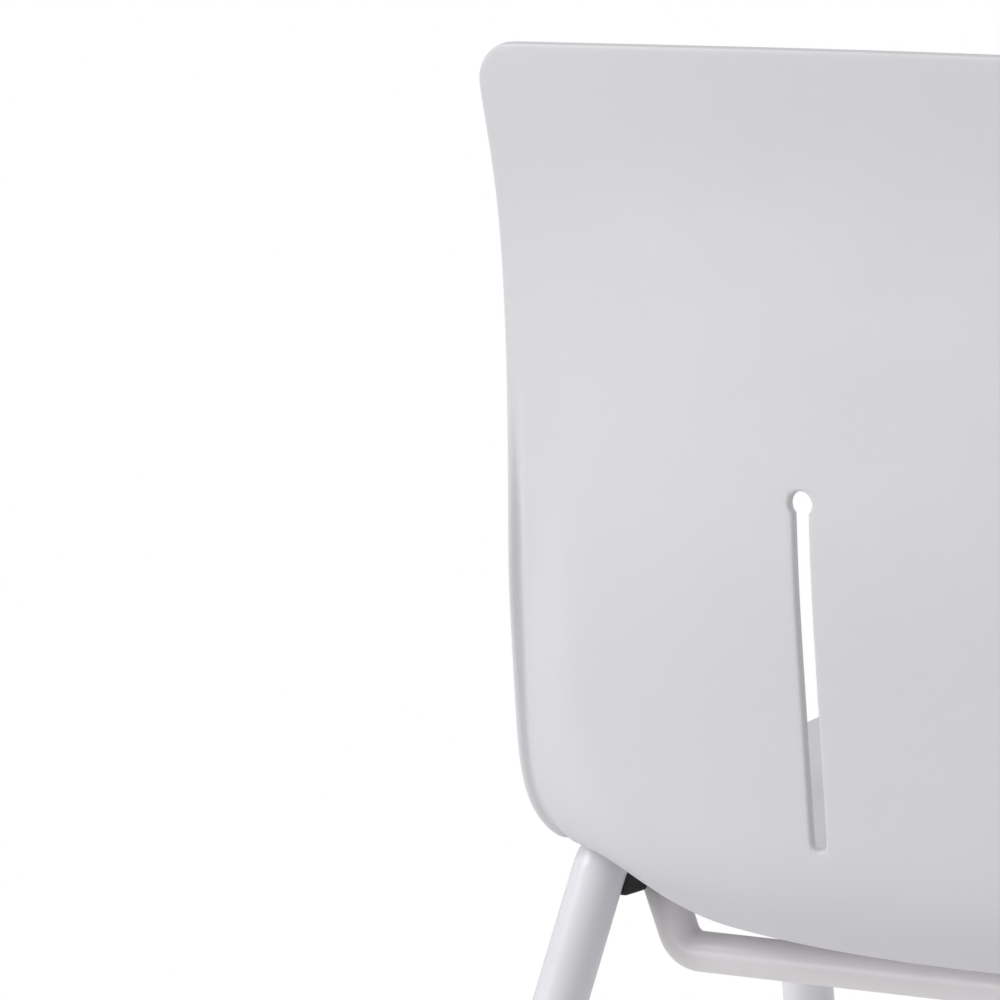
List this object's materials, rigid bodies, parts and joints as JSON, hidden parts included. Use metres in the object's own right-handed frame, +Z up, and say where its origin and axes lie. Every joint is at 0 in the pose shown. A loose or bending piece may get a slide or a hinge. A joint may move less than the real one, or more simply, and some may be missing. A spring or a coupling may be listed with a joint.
{
  "type": "stacking chair",
  "caption": "Stacking chair: one-piece moulded shell with two keyhole slots in the back, on splayed bent tube legs joined by dropped crossbars.",
  "frame": {"origin": "on the floor, under the middle of the four feet", "axes": "+Z up, the sitter faces -Y, +X is the sitter's left side"},
  "size_m": [0.5726, 0.559, 0.84],
  "materials": {
    "shell": "satin pale grey polypropylene",
    "frame": "pale grey powder coat on steel",
    "steel": "zinc-plated steel",
    "brass": "plain brass",
    "black_nylon": "black moulded nylon",
    "glide": "grey moulded nylon"
  },
  "bodies": {
    "root": {"shell": "shell", "side_frame_left": "frame", "side_frame_right": "frame", "front_crossbar": "frame", "rear_crossbar": "frame", "mount_plate_front_left": "frame", "mount_plate_front_right": "frame", "mount_plate_rear_left": "frame", "mount_plate_rear_right": "frame", "shell_screw_front_left": "steel", "shell_screw_front_right": "steel", "shell_screw_rear_left": "steel", "shell_screw_rear_right": "steel", "threaded_insert_front_left": "brass", "threaded_insert_front_right": "brass", "threaded_insert_rear_left": "brass", "threaded_insert_rear_right": "brass", "stacking_bumper_front_left": "black_nylon", "stacking_bumper_front_right": "black_nylon", "stacking_bumper_rear_left": "black_nylon", "stacking_bumper_rear_right": "black_nylon", "foot_glide_front_left": "glide", "foot_glide_front_right": "glide", "foot_glide_rear_left": "glide", "foot_glide_rear_right": "glide"}
  },
  "joints": []
}
